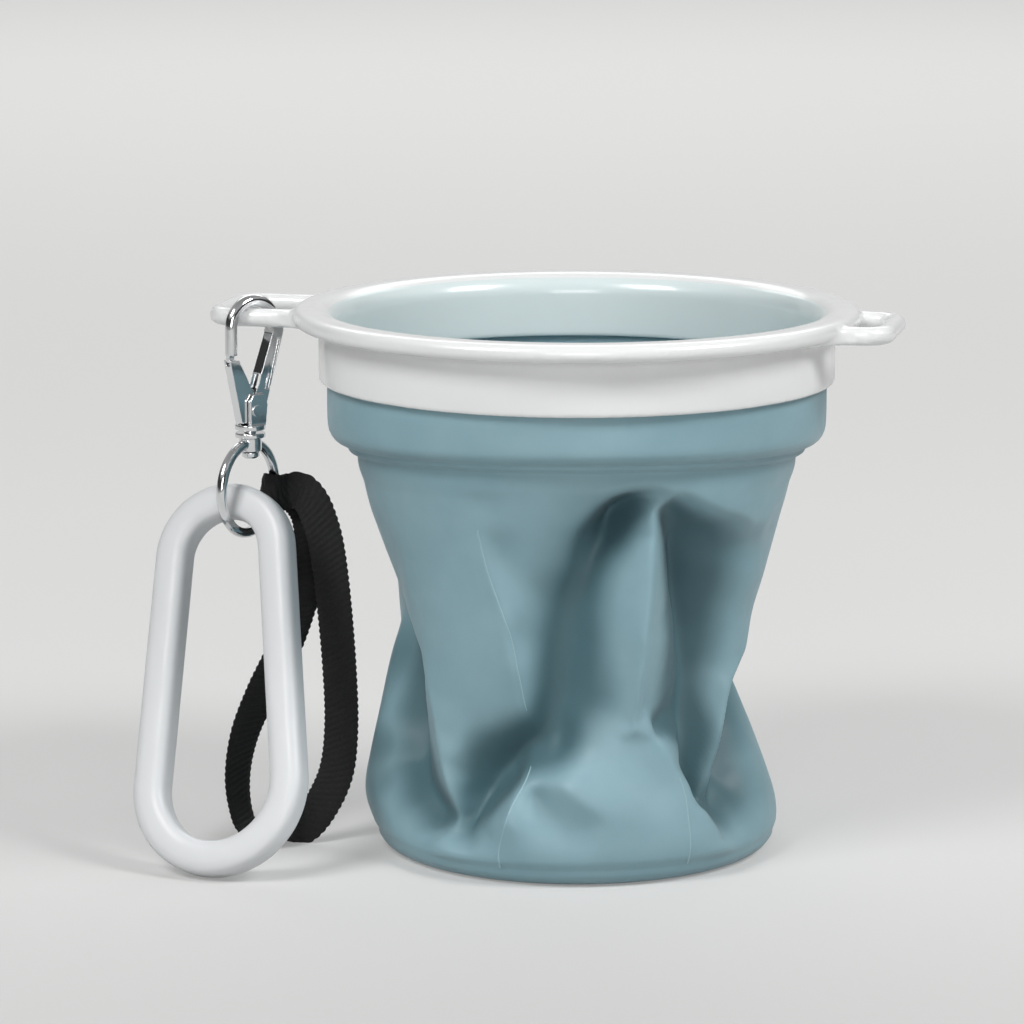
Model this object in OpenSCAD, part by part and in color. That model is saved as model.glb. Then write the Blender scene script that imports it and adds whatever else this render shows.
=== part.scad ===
// Collapsible silicone bowl with a clip-on grip link and wrist strap.
// Origin at the centre of the base underside, Z up, front of the bowl toward -Y, millimetres.

/* [Bowl] */
// Height of the bowl as it stands, part folded
bowl_h = 148.6; // [120:0.1:190]
// Outer radius of the lip
lip_r = 77; // [60:0.5:100]
// Thickness of the lip
lip_t = 5; // [3:0.1:8]
// Width of the lip, from the mouth to its outer edge
lip_w = 12; // [9:0.5:16]
// How far the skirt is set in from the lip's outer edge
skirt_set = 7; // [4:0.5:9]
// Height of the skirt, lip included
skirt_h = 20; // [14:0.5:30]
// Wall of the skirt
skirt_t = 2; // [1.2:0.1:3]
// Wall of the clamp ring inside the mouth
ring_t = 1.3; // [0.8:0.1:2.5]
// How far the clamp ring reaches below the top
ring_h = 19.6; // [16:0.1:26]

/* [Silicone] */
// Silicone wall
wall_t = 1.7; // [1:0.1:3]
// How far the cuff is set in from the skirt
cuff_set = 2.3; // [2.1:0.1:5]
// How far the cuff's shoulder lies below the top
cuff_drop = 32.8; // [26:0.1:44]
// How far the neck, where the folding wall starts, lies below the top
neck_drop = 40.8; // [32:0.1:56]
// How far the neck is set in from the cuff
neck_set = 8.3; // [5:0.1:14]
// How far the waist, halfway down the folding wall, is set in from the lip's outer edge
waist_set = 28; // [18:0.5:36]
// How far the base is set in from the lip's outer edge
base_set = 21; // [14:0.5:32]
// Height of the base moulding
base_h = 12; // [8:0.5:20]
// Thickness of the base floor
floor_t = 2.6; // [1.6:0.1:5]
// Deepest fold in the wall
fold_depth = 16; // [0:0.5:20]

/* [Ears] */
// Radius of the round bar of each ear
ear_bar_r = 2.6; // [1.8:0.1:3.5]
// Half the spacing of an ear's two bars
ear_half = 15; // [11:0.5:22]
// How far the hook ear stands out from the lip
hook_ear_len = 23.4; // [21:0.2:45]
// How far the plain ear stands out from the lip
plain_ear_len = 11.4; // [9:0.2:40]
// Corner radius of the ears at the bar centre
ear_corner_r = 6; // [4:0.5:10]
// Fillet where an ear meets the lip
ear_fillet_r = 13; // [6:0.5:20]
// Turn of the ears about the bowl axis
ear_turn = -12.5; // [-45:0.5:45]

/* [Snap hook] */
// Wire radius of the hook
hook_wire_r = 1.7; // [1.2:0.1:2.4]
// Radius of the hook's arch at the wire centre
hook_arch_r = 7.3; // [6.5:0.1:10]
// Distance from the arch centre down to the flange
hook_drop = 28; // [24:0.5:40]
// Thickness of the hook's base
hook_t = 6; // [5:0.1:8]
// Turn of the hook about the upright
hook_turn = 39.7; // [20:0.1:70]
// Turn of the swivel eye from the hook's plane
eye_turn = 17.6; // [-30:0.1:60]
// Radius of the swivel stem
stem_r = 1.6; // [1.1:0.05:2.2]
// Wire radius of the swivel eye
eye_wire_r = 1.45; // [1:0.05:2]
// Radius of the swivel eye at the wire centre
eye_r = 12.3; // [10:0.1:18]

/* [Grip link] */
// Radius of the link's narrow end at the bar centre
link_top_r = 15.4; // [12:0.1:22]
// Radius of the link's wide end at the bar centre
link_end_r = 20.3; // [14:0.1:28]
// Distance between the centres of the two ends
link_len = 64; // [40:0.5:90]
// Width of the link's bar
link_bar_w = 9.4; // [6:0.1:12]
// Thickness of the link's bar
link_bar_t = 9; // [6:0.1:12]
// Turn of the link about the upright
link_turn = -25; // [-40:1:0]
// Sideways tilt of the link
link_tilt = 11; // [0:0.5:15]

/* [Strap] */
// Width of the webbing
strap_w = 10; // [6:0.5:14]
// Thickness of the webbing
strap_t = 1.3; // [0.8:0.1:2]

/* [Hidden] */

$fn = 96;

// Fits and clearances
seat_gap = 0.05;
turn_gap = 0.08;
run_gap = 0.35;
side_gap = 0.25;

// Colours
white = [0.93, 0.94, 0.94];
blue_grey = [0.47, 0.60, 0.65];
steel = [0.75, 0.76, 0.78];
black = [0.06, 0.06, 0.07];

// Rim
mouth_r = lip_r - lip_w;
skirt_r = lip_r - skirt_set;
lip_z = bowl_h - lip_t;
lip_round = lip_t / 2;
lip_in_round = lip_t * 0.4;
skirt_z = bowl_h - skirt_h;
skirt_in_r = skirt_r - skirt_t;
ring_in_r = mouth_r;
ring_out_r = ring_in_r + ring_t;
ring_z = bowl_h - ring_h;
ear_z = bowl_h - 0.78 * lip_t;
gusset_t = 2 * ear_bar_r * 0.84;
root_r = mouth_r + lip_round;

// Cuff
cuff_r = skirt_r - cuff_set;
neck_r = cuff_r - neck_set;
cuff_z = bowl_h - cuff_drop;
neck_z = bowl_h - neck_drop;
tongue_in_r = ring_out_r + seat_gap;
tongue_out_r = skirt_in_r - seat_gap;
shoulder_r = cuff_r - (cuff_r - neck_r) * 0.55;
shoulder_z = cuff_z - (cuff_z - neck_z) * 0.55;

// Folding wall: a drum with a waist, pressed into folds
waist_r = lip_r - waist_set;
base_r = lip_r - base_set;
wall_h = neck_z - base_h;
wall_cols = 84;
wall_rows = 24;
waist_share = 0.42;
edge_share = 0.05;
// Ridges and valleys of the folds as lines of points: azimuth from the front, height as a share
// of the wall, and how far out, or in where negative, as a share of the deepest fold
fold_line_shares = [
    [[-2, 0.76, -0.23], [1, 0.84, -0.18], [4, 0.91, -0.11], [8, 0.94, -0.06],
     [13, 0.97, -0.02], [19, 0.97, 0], [24, 0.95, 0.01], [31, 0.92, 0], [40, 0.88, 0],
     [53, 0.85, 0], [64, 0.83, 0]],
    [[4, 0.81, -0.88], [10, 0.86, -0.87], [14, 0.9, -0.76], [18, 0.93, -0.43]],
    [[29, 0.91, -0.44], [41, 0.84, -0.64], [51, 0.8, -0.56], [61, 0.77, -0.37],
     [75, 0.76, -0.23]],
    [[21, 0.89, -0.12], [22, 0.81, -0.08], [22, 0.76, -0.04], [21, 0.65, 0.05],
     [20, 0.54, 0.14], [18, 0.4, 0.25], [17, 0.31, 0.11]],
    [[28, 0.88, -0.46], [38, 0.79, -0.79], [44, 0.68, -0.89], [50, 0.54, -0.85],
     [52, 0.41, -0.68], [49, 0.28, -0.61], [45, 0.16, -0.6], [43, 0.08, -0.52]],
    [[72, 0.45, -0.11], [64, 0.39, -0.13], [60, 0.35, -0.15], [53, 0.23, -0.28],
     [48, 0.16, -0.37], [43, 0.06, -0.42]],
    [[-78, 0.59, -0.26], [-67, 0.54, -0.16], [-58, 0.48, -0.05], [-54, 0.4, 0.05],
     [-48, 0.29, -0.02], [-45, 0.19, -0.16], [-42, 0.11, -0.28], [-39, 0.03, -0.35],
     [-36, 0, -0.37]],
    [[-36, 0, -0.37], [-29, 0.03, -0.29], [-22, 0.09, -0.19], [-18, 0.14, -0.2],
     [-16, 0.2, -0.36]],
    [[-16, 0.2, -0.36], [-16, 0.16, -0.13], [-18, 0.11, -0.05], [-20, 0.06, -0.01]],
    [[19, 0.36, 0.01], [21, 0.35, 0.06], [24, 0.27, 0.04], [28, 0.2, -0.01],
     [34, 0.12, -0.07], [37, 0.08, -0.08], [42, 0.01, -0.07]],
    [[-36, 0.04, -0.58], [-38, 0.08, -0.9], [-35, 0.13, -1.03], [-28, 0.18, -1],
     [-18, 0.23, -0.93], [-10, 0.25, -0.91]],
    [[4, 0.81, -0.88], [1, 0.69, -0.94], [-3, 0.55, -1.01], [-7, 0.45, -1.01],
     [-10, 0.34, -1.01], [-10, 0.25, -0.91], [-11, 0.21, -0.63]],
    [[-93, 0.56, -0.3], [-92, 0.46, 0.02], [-91, 0.34, 0.18], [-89, 0.22, 0.17],
     [-88, 0.08, 0.14]],
    [[-87, 0.57, -0.46], [-79, 0.48, -0.78], [-70, 0.35, -0.91], [-61, 0.23, -0.98],
     [-54, 0.11, -0.86], [-47, 0.03, -0.59]],
    [[-77, 0.42, -0.47], [-82, 0.32, -0.03], [-88, 0.23, 0.16]],
    [[90, 0.47, -0.49], [83, 0.37, -0.76], [73, 0.26, -0.99], [62, 0.13, -0.96],
     [52, 0.05, -0.7]],
    [[100, 0.38, -0.42], [97, 0.31, -0.32], [95, 0.23, -0.26], [94, 0.15, -0.22],
     [92, 0.02, -0.08]],
    [[146, 0.89, -0.19], [148, 0.66, -0.68], [150, 0.45, -0.84], [152, 0.24, -0.86],
     [150, 0.06, -0.44]],
    [[165, 0.91, 0], [168, 0.66, -0.03], [170, 0.4, 0.12], [172, 0.19, 0],
     [170, 0.04, -0.03]],
    [[186, 0.87, -0.16], [188, 0.63, -0.71], [188, 0.4, -0.82], [186, 0.19, -0.85],
     [184, 0.04, -0.39]],
    [[206, 0.89, 0.02], [206, 0.63, 0.01], [205, 0.38, 0.05], [202, 0.13, -0.06]],
    [[228, 0.88, -0.15], [229, 0.63, -0.65], [231, 0.4, -0.79], [234, 0.17, -0.75],
     [236, 0.03, -0.34]],
    [[250, 0.89, 0], [251, 0.66, -0.05], [252, 0.42, 0.06]],
    [[122, 0.88, 0.01], [122, 0.61, 0], [124, 0.34, 0.03], [128, 0.1, -0.15]]
];
// Lone points of the faces between them
fold_point_shares = [
    [-44, 0.75, -0.08], [-33, 0.64, -0.02], [-28, 0.73, -0.12], [-23, 0.8, -0.17],
    [-20, 0.69, -0.08], [-17, 0.54, -0.05], [-15, 0.4, -0.15], [-11, 0.64, -0.32],
    [-11, 0.5, -0.55], [-14, 0.36, -0.56], [-39, 0.42, 0.09], [-27, 0.4, -0.02],
    [-40, 0.35, -0.01], [-27, 0.33, -0.24], [-39, 0.23, -0.28], [-31, 0.25, -0.43],
    [-22, 0.28, -0.54], [-41, 0.13, -0.72], [-27, 0.1, -0.59], [-22, 0.15, -0.59],
    [15, 0.84, -0.38], [13, 0.76, -0.31], [12, 0.65, -0.29], [10, 0.51, -0.22],
    [8, 0.37, -0.14], [15, 0.41, 0.1], [3, 0.52, -0.58], [1, 0.36, -0.52], [3, 0.26, -0.11],
    [10, 0.27, -0.01], [-12, 0.15, -0.29], [-6, 0.17, -0.16], [-5, 0.11, -0.01],
    [12, 0.15, 0], [6, 0.02, 0], [-11, 0.04, -0.02], [21, 0.15, -0.06], [20, 0.06, -0.02],
    [32, 0, -0.03], [24, 0.29, -0.26], [47, 0.73, -0.51], [56, 0.7, -0.25],
    [66, 0.68, -0.07], [54, 0.59, -0.57], [61, 0.57, -0.26], [57, 0.43, -0.47],
    [62, 0.43, -0.28], [53, 0.27, -0.47], [49, 0.19, -0.49], [-60, 0.86, -0.03],
    [-30, 0.86, -0.03], [-12, 0.85, -0.05], [-88, 0.86, -0.01], [72, 0.89, 0.01],
    [88, 0.89, 0], [85, 0.71, -0.09], [82, 0.6, -0.16], [80, 0.19, -0.41], [70, 0.1, -0.38],
    [80, 0.06, -0.19], [56, 0.02, -0.28], [66, 0, -0.16], [-66, 0.16, -0.05],
    [-57, 0.12, -0.38], [-50, 0.02, -0.18], [-75, 0.12, 0.15], [-72, 0.25, -0.19],
    [-86, 0.01, 0.13], [-62, 0.01, 0], [105, 0.81, -0.04], [105, 0.5, -0.3],
    [106, 0.29, -0.41], [110, 0.1, -0.24], [138, 0.08, -0.17], [160, 0.08, -0.08],
    [193, 0.1, -0.12], [218, 0.08, -0.05], [246, 0.13, -0.06], [257, 0.19, 0.06],
    [258, 0.02, 0.07]
];
// The wall's height counted in degrees of azimuth, and how far each point is felt
fold_reach = 106;
fold_near = 4.6;
fold_wide = 16;
fold_far = 44;
fold_faint = 0.003;
fold_calm = 1.5;
rim_every = 12;

// Hook ear and hook
ear_tip = lip_r + hook_ear_len - ear_bar_r;
plain_tip = lip_r + plain_ear_len - ear_bar_r;
hook_at = lip_r + hook_ear_len * 0.4188;
hook_offset = 1.2;
bar_top = ear_z + ear_bar_r;
arch_z = bar_top + run_gap + hook_wire_r - hook_arch_r;
arch_x = hook_at * cos(180 + ear_turn) - ear_half * sin(180 + ear_turn);
arch_y = hook_at * sin(180 + ear_turn) + ear_half * cos(180 + ear_turn);
stem_x = arch_x - hook_offset * cos(hook_turn);
stem_y = arch_y - hook_offset * sin(hook_turn);
flange_z = arch_z - hook_drop;
flange_r = hook_t * 0.7;
flange_t = hook_t * 0.25;
pivot_x = 0.1 * hook_wire_r;
pivot_z = flange_z + hook_t * 0.9;
pin_r = hook_t * 0.16;
pin_head_r = hook_t * 0.27;
pin_head_t = hook_t * 0.07;
slot_half = hook_t * 0.3;
gate_half = slot_half - side_gap;
tail_edge = gate_half * 0.1;
nose_x = hook_offset - hook_arch_r;
nose_z = arch_z - hook_arch_r * 0.98;
tongue_w = hook_wire_r * 0.8;
tongue_l = hook_wire_r * 1.15;
nose_gap = 3.6 * run_gap;
fork_gap = 2.4 * run_gap;
gate_top = nose_z - nose_gap;
gate_w = hook_wire_r * 2;
gate_foot_x = pivot_x - hook_t * 0.62;
gate_foot_z = flange_z + flange_t * 0.35;
spine_x = hook_offset + hook_arch_r;
spine_w = hook_wire_r * 2.2;
spine_top = arch_z + hook_wire_r * 0.3;
spine_t = hook_t * 0.66;
crotch_z = pivot_z + hook_t * 0.75;

// Swivel
swivel_gap = 0.8;
barrel_top = flange_z - swivel_gap;
collar_t = hook_t * 0.22;
barrel_h = hook_t * 0.85;
barrel_z = barrel_top - barrel_h;
barrel_r = stem_r * 1.95;
collar_r = flange_r;
head_gap = 0.3;
head_r = stem_r * 1.5;
head_t = stem_r * 1.1;
head_z = barrel_z - head_gap - head_t;
stem_in = hook_t * 0.45;
eye_z = barrel_z + barrel_h * 0.42 - eye_r;
eye_shift = -1.2;
eye_dir = hook_turn + eye_turn;
wire_x = stem_x + eye_shift * cos(eye_dir);
wire_y = stem_y + eye_shift * sin(eye_dir);
wire_z = eye_z - eye_r;

// Grip link
link_round = link_bar_t * 0.32;
link_step = link_bar_t * 0.028;
link_lap = link_bar_t * 0.16;
link_slope = asin((link_end_r - link_top_r) / link_len);
link_side = link_len * cos(link_slope);
link_off = link_top_r * 0.30;
link_arc_h = sqrt(link_top_r * link_top_r - link_off * link_off);
link_rise = link_bar_w / 2 + eye_wire_r + 7 * run_gap;
hang_x = wire_x - 2 * eye_wire_r * cos(eye_dir);
hang_y = wire_y - 2 * eye_wire_r * sin(eye_dir);
hang_z = wire_z + link_rise;
link_drop = (link_arc_h + link_len) * cos(link_tilt) + link_end_r + link_bar_w / 2;
link_foot = link_bar_t * 0.20;
link_lean = acos(min(1, (hang_z - link_foot) / link_drop));

// Strap route, offsets from the lowest point of the eye's wire: x, y, z, band turn, band tip
strap_route = [
    [6, -9, -84, 66, 0],
    [1.5, -4.5, -84, 66, 0],
    [-2.5, 0.5, -80, 62, 2],
    [-4, 4, -70, 52, 4],
    [-2, 6, -58, 40, 4],
    [3, 8, -46, 28, 2],
    [10, 9.5, -32, 20, 0],
    [15, 10, -16, 16, 0],
    [16.6, 12, -6, 20, 8],
    [15.8, 14.2, 1.5, 28, 24],
    [13, 16, 6.2, 40, 50],
    [9.5, 16.3, 8.2, 50, 66],
    [6.1, 14.2, 8.2, 57, 75],
    [4.1, 11.5, 9.1, 57, 75],
    [3.3, 9, 9.8, 57, 75],
    [4.5, 7, 10.1, 57, 75],
    [6.7, 6.6, 9.9, 57, 75],
    [8.8, 8.4, 9.2, 57, 75],
    [10.6, 9.9, 9.6, 50, 70],
    [13.8, 9.9, 9.9, 30, 60],
    [17, 8.2, 6.8, 14, 44],
    [19.3, 6.8, 1.5, 4, 30],
    [21.2, 5.4, -6, -4, 16],
    [23, 3.5, -20, -12, 4],
    [24.5, 1.5, -38, -18, 0],
    [25, -0.5, -54, -20, -4],
    [23.5, -2.5, -67, -14, -10],
    [18.5, -5.5, -77, 4, -14],
    [13, -8.5, -82, 30, -8],
    [8.5, -12, -84, 50, 0]
];
strap_steps = 2;
strap_floor = 0.6 * strap_t;

function wrap(a) = a > 180 ? wrap(a - 360) : (a < -180 ? wrap(a + 360) : a);
function ease(x) = x <= 0 ? 0 : (x >= 1 ? 1 : x * x * (3 - 2 * x));
function drum_r(s) = let (t = s < waist_share ? s / waist_share : (1 - s) / (1 - waist_share))
    (s < waist_share ? base_r : neck_r)
    + (waist_r - (s < waist_share ? base_r : neck_r)) * (s < waist_share ? ease(t) : pow(t, 0.9));
function fold_spots() = concat(
    [for (l = fold_line_shares) each l],
    [for (l = fold_line_shares) for (i = [1 : len(l) - 1]) (l[i - 1] + l[i]) / 2],
    fold_point_shares,
    [for (a = [0 : rim_every : 359]) each [[a, 0, 0], [a, 1, 0]]]);
// Weighted sums for the plane that best fits the points round one place
function fold_sums(spots, a, s) = let (rows = [for (p = spots)
    let (u = wrap(p[0] - a), v = (p[1] - s) * fold_reach, d = u * u + v * v)
    if (d < fold_far * fold_far)
    let (w = exp(-d / (2 * fold_near * fold_near)) + fold_faint * exp(-d / (2 * fold_wide * fold_wide)))
    w * [1, u, v, u * u, u * v, v * v, p[2], p[2] * u, p[2] * v]])
    [for (r = rows) 1] * rows;
function plane_at(m) = let (uu = m[3] + fold_calm * m[0], vv = m[5] + fold_calm * m[0], uv = m[4])
    (m[6] * (uu * vv - uv * uv) - m[1] * (m[7] * vv - uv * m[8]) + m[2] * (m[7] * uv - uu * m[8]))
    / (m[0] * (uu * vv - uv * uv) - m[1] * (m[1] * vv - uv * m[2]) + m[2] * (m[1] * uv - uu * m[2]));
function fold_r(spots, a, s) = drum_r(s) + fold_depth * plane_at(fold_sums(spots, a, s))
    * ease(s / edge_share) * ease((1 - s) / edge_share);
function rim_point(r, a, z) = [r * sin(a), -r * cos(a), z];

// Catmull and Rom curve through a route, any number of values to a point
function at_route(i) = strap_route[max(0, min(len(strap_route) - 1, i))];
function curve(i, t) = let (a = at_route(i - 1), b = at_route(i), c = at_route(i + 1), d = at_route(i + 2))
    (2 * b + (c - a) * t + (2 * a - 5 * b + 4 * c - d) * t * t + (3 * b - a - 3 * c + d) * t * t * t) / 2;
function unit(v) = v / norm(v);

module ring_profile_lip() {
    translate([mouth_r + lip_in_round, lip_z])
        square([lip_r - lip_round - mouth_r - lip_in_round, lip_t]);
    translate([lip_r - lip_round, lip_z + lip_round])
        circle(r = lip_round);
    translate([mouth_r + lip_in_round, bowl_h - lip_in_round])
        circle(r = lip_in_round);
    translate([mouth_r, lip_z])
        square([lip_in_round, lip_t - lip_in_round]);
}

// One ear along +X: a round bar bent to a loop, with flat webs filling its roots
module ear(tip) {
    straight = tip - ear_corner_r;
    translate([0, 0, ear_z]) {
        for (side = [-1, 1]) {
            translate([root_r, side * ear_half, 0])
                rotate([0, 90, 0])
                    cylinder(r = ear_bar_r, h = straight - root_r);
            translate([straight, side * (ear_half - ear_corner_r), 0])
                rotate([0, 0, side > 0 ? 0 : -90])
                    rotate_extrude(angle = 90)
                        translate([ear_corner_r, 0])
                            circle(r = ear_bar_r);
        }
        translate([tip, -(ear_half - ear_corner_r), 0])
            rotate([-90, 0, 0])
                cylinder(r = ear_bar_r, h = 2 * (ear_half - ear_corner_r));
        for (side = [-1, 1])
            ear_web(side);
    }
}

module ear_web(side) {
    edge = ear_half + ear_bar_r * 0.8;
    across = edge + ear_fillet_r;
    along = sqrt(pow(lip_r + ear_fillet_r - lip_round, 2) - across * across);
    touch = (lip_r - lip_round) / (lip_r + ear_fillet_r - lip_round);
    translate([0, 0, -gusset_t / 2])
        linear_extrude(height = gusset_t)
            difference() {
                polygon([
                    [along * touch - lip_t, side * across * touch],
                    [along * touch, side * across * touch],
                    [along, side * edge],
                    [along, side * ear_half],
                    [along * touch - lip_t, side * ear_half]
                ]);
                translate([along, side * across])
                    circle(r = ear_fillet_r);
            }
}

module rim_collar() {
    color(white) difference() {
        union() {
            rotate_extrude() {
                ring_profile_lip();
                translate([skirt_in_r, skirt_z])
                    square([skirt_t, skirt_h - lip_t]);
            }
            rotate([0, 0, ear_turn])
                ear(plain_tip);
            rotate([0, 0, ear_turn + 180])
                ear(ear_tip);
        }
        // Groove under the lip stays open for the silicone tongue and the clamp ring
        translate([0, 0, ring_z])
            cylinder(r = skirt_in_r, h = lip_z - ring_z);
        translate([0, 0, ring_z])
            cylinder(r = mouth_r, h = ring_h + lip_t);
    }
}

module clamp_ring() {
    color(white) translate([0, 0, ring_z])
        rotate_extrude()
            polygon([
                [ring_in_r, ring_t / 2],
                [ring_in_r + ring_t / 2, 0],
                [ring_out_r, 0],
                [ring_out_r, lip_z - ring_z],
                [ring_in_r, lip_z - ring_z]
            ]);
}

module silicone_cuff() {
    inner = cuff_r - wall_t;
    color(blue_grey) rotate_extrude()
        polygon([
            [tongue_out_r, lip_z - seat_gap],
            [tongue_out_r, skirt_z],
            [cuff_r, skirt_z],
            [cuff_r, cuff_z],
            [cuff_r - (cuff_r - shoulder_r) * 0.12, cuff_z - (cuff_z - shoulder_z) * 0.38],
            [cuff_r - (cuff_r - shoulder_r) * 0.45, cuff_z - (cuff_z - shoulder_z) * 0.74],
            [shoulder_r, shoulder_z],
            [neck_r, neck_z],
            [neck_r - wall_t, neck_z],
            [neck_r - wall_t, neck_z + wall_t / 2],
            [shoulder_r - wall_t, shoulder_z + wall_t],
            [inner - (cuff_r - shoulder_r) * 0.45, cuff_z - (cuff_z - shoulder_z) * 0.74 + wall_t],
            [inner - (cuff_r - shoulder_r) * 0.12, cuff_z - (cuff_z - shoulder_z) * 0.38 + wall_t / 2],
            [inner, cuff_z],
            [inner, ring_z - wall_t],
            [tongue_in_r, ring_z],
            [tongue_in_r, lip_z - seat_gap]
        ]);
}

module silicone_wall() {
    spots = fold_spots();
    radii = [for (j = [0 : wall_rows]) for (i = [0 : wall_cols - 1])
        fold_r(spots, 360 * i / wall_cols, j / wall_rows)];
    outer = [for (j = [0 : wall_rows]) for (i = [0 : wall_cols - 1])
        rim_point(radii[j * wall_cols + i], 360 * i / wall_cols, base_h + wall_h * j / wall_rows)];
    inner = [for (j = [0 : wall_rows]) for (i = [0 : wall_cols - 1])
        rim_point(radii[j * wall_cols + i] - wall_t, 360 * i / wall_cols,
            base_h + wall_h * j / wall_rows)];
    many = wall_cols * (wall_rows + 1);
    sides = [for (j = [0 : wall_rows - 1]) for (i = [0 : wall_cols - 1])
        let (a = j * wall_cols + i, b = j * wall_cols + (i + 1) % wall_cols)
        [a, b, b + wall_cols, a + wall_cols]];
    outs = [for (q = sides) each [[q[0], q[2], q[1]], [q[0], q[3], q[2]]]];
    ins = [for (q = sides) each [[many + q[0], many + q[1], many + q[2]],
        [many + q[0], many + q[2], many + q[3]]]];
    top = wall_rows * wall_cols;
    ends = [for (i = [0 : wall_cols - 1]) let (n = (i + 1) % wall_cols) each [
        [i, n, many + n], [i, many + n, many + i],
        [top + i, many + top + n, top + n], [top + i, many + top + i, many + top + n]]];
    color(blue_grey)
        polyhedron(points = concat(outer, inner), faces = concat(outs, ins, ends), convexity = 6);
}

module silicone_base() {
    inner = base_r - wall_t;
    turn = base_h - floor_t;
    color(blue_grey) rotate_extrude()
        polygon([
            [0, 0],
            [base_r - base_h * 0.62, 0],
            [base_r - base_h * 0.34, base_h * 0.10],
            [base_r - base_h * 0.13, base_h * 0.32],
            [base_r - base_h * 0.02, base_h * 0.64],
            [base_r, base_h],
            [inner, base_h],
            [inner - turn * 0.02, floor_t + turn * 0.62],
            [inner - turn * 0.16, floor_t + turn * 0.28],
            [inner - turn * 0.42, floor_t + turn * 0.06],
            [inner - turn * 0.72, floor_t],
            [0, floor_t]
        ]);
}

// Places a piece drawn about the stem axis, X along the hook's plane
module at_hook() {
    translate([stem_x, stem_y, 0])
        rotate([0, 0, hook_turn])
            children();
}

// Extrudes a flat shape drawn in the hook's plane, from one depth to another
module across(from, to) {
    translate([0, to, 0])
        rotate([90, 0, 0])
            linear_extrude(height = to - from)
                children();
}

module spine_shape(inset) {
    polygon([
        [spine_x - spine_w / 2 + inset, spine_top],
        [spine_x + spine_w / 2 - inset, spine_top],
        [spine_x + spine_w * 0.42 - inset, arch_z - hook_arch_r * 0.3],
        [pivot_x + hook_t * 0.72 - inset, crotch_z - hook_t * 0.4 + inset],
        [pivot_x + hook_t * 0.55 - inset, flange_z + flange_t + inset],
        [pivot_x + hook_t * 0.05 + inset, flange_z + flange_t + inset],
        [pivot_x + hook_t * 0.05 + inset, crotch_z - inset],
        [spine_x - spine_w * 0.56 + inset, arch_z - hook_arch_r * 0.3]
    ]);
}

module hook_body() {
    recess = spine_t * 0.18;
    color(steel) at_hook() difference() {
        union() {
            // Arch over the ear's bar
            translate([hook_offset, 0, arch_z])
                rotate([90, 0, 0])
                    rotate_extrude(angle = 180)
                        translate([hook_arch_r, 0])
                            circle(r = hook_wire_r);
            // Nose and its tongue, which the gate closes on
            translate([nose_x, 0, nose_z])
                cylinder(r = hook_wire_r, h = arch_z - nose_z);
            translate([nose_x - hook_wire_r * 0.8, -tongue_w / 2, nose_z - tongue_l])
                cube([hook_wire_r * 1.1, tongue_w, tongue_l + hook_wire_r]);
            // Spine down to the base
            across(-spine_t / 2, spine_t / 2)
                spine_shape(0);
            // Two cheeks round the gate's pivot
            across(-hook_t / 2, hook_t / 2)
                polygon([
                    [pivot_x - hook_t * 0.36, flange_z + flange_t * 0.5],
                    [pivot_x + hook_t * 0.5, flange_z + flange_t * 0.5],
                    [pivot_x + hook_t * 0.62, crotch_z - hook_t * 0.5],
                    [pivot_x + hook_t * 0.42, crotch_z],
                    [pivot_x - hook_t * 0.16, crotch_z],
                    [pivot_x - hook_t * 0.36, crotch_z - hook_t * 0.3]
                ]);
            translate([0, 0, flange_z])
                cylinder(r = flange_r, h = flange_t);
        }
        // Slot for the gate, open to the front and to the throat
        across(-slot_half, slot_half)
            polygon([
                [pivot_x - hook_t, flange_z + flange_t * 1.1],
                [pivot_x + hook_t * 0.34, flange_z + flange_t * 1.1],
                [pivot_x + hook_t * 0.44, pivot_z + hook_t * 0.3],
                [pivot_x + hook_t * 0.92, crotch_z + hook_t * 0.85],
                [pivot_x - hook_t, crotch_z + hook_t * 0.85]
            ]);
        // Pin hole and stem hole
        translate([pivot_x, hook_t, pivot_z])
            rotate([90, 0, 0])
                cylinder(r = pin_r + seat_gap, h = 2 * hook_t);
        translate([0, 0, flange_z - flange_t])
            cylinder(r = stem_r + seat_gap, h = flange_t + stem_in);
        // Shallow panels in both faces of the spine
        for (side = [-1, 1])
            across(side > 0 ? spine_t / 2 - recess : -spine_t, side > 0 ? spine_t : recess - spine_t / 2)
                polygon([
                    [spine_x - spine_w * 0.22, arch_z - hook_arch_r * 0.45],
                    [spine_x + spine_w * 0.14, arch_z - hook_arch_r * 0.45],
                    [pivot_x + hook_t * 0.86, crotch_z + hook_t * 0.16],
                    [pivot_x + hook_t * 0.56, crotch_z + hook_t * 0.16]
                ]);
    }
}

module gate_outline() {
    polygon([
        [nose_x - gate_w * 0.46, gate_top],
        [nose_x + gate_w * 0.46, gate_top],
        [pivot_x + pin_r * 1.3, pivot_z + pin_r * 2.4],
        [pivot_x + pin_r * 1.4, pivot_z - pin_r * 0.6],
        [pivot_x + pin_r * 0.4, pivot_z - pin_r * 1.6],
        [gate_foot_x + gate_w * 0.66, pivot_z - pin_r * 1.9],
        [gate_foot_x + gate_w * 0.5, gate_foot_z + flange_t],
        [gate_foot_x - gate_w * 0.1, gate_foot_z + flange_t]
    ]);
}

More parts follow.
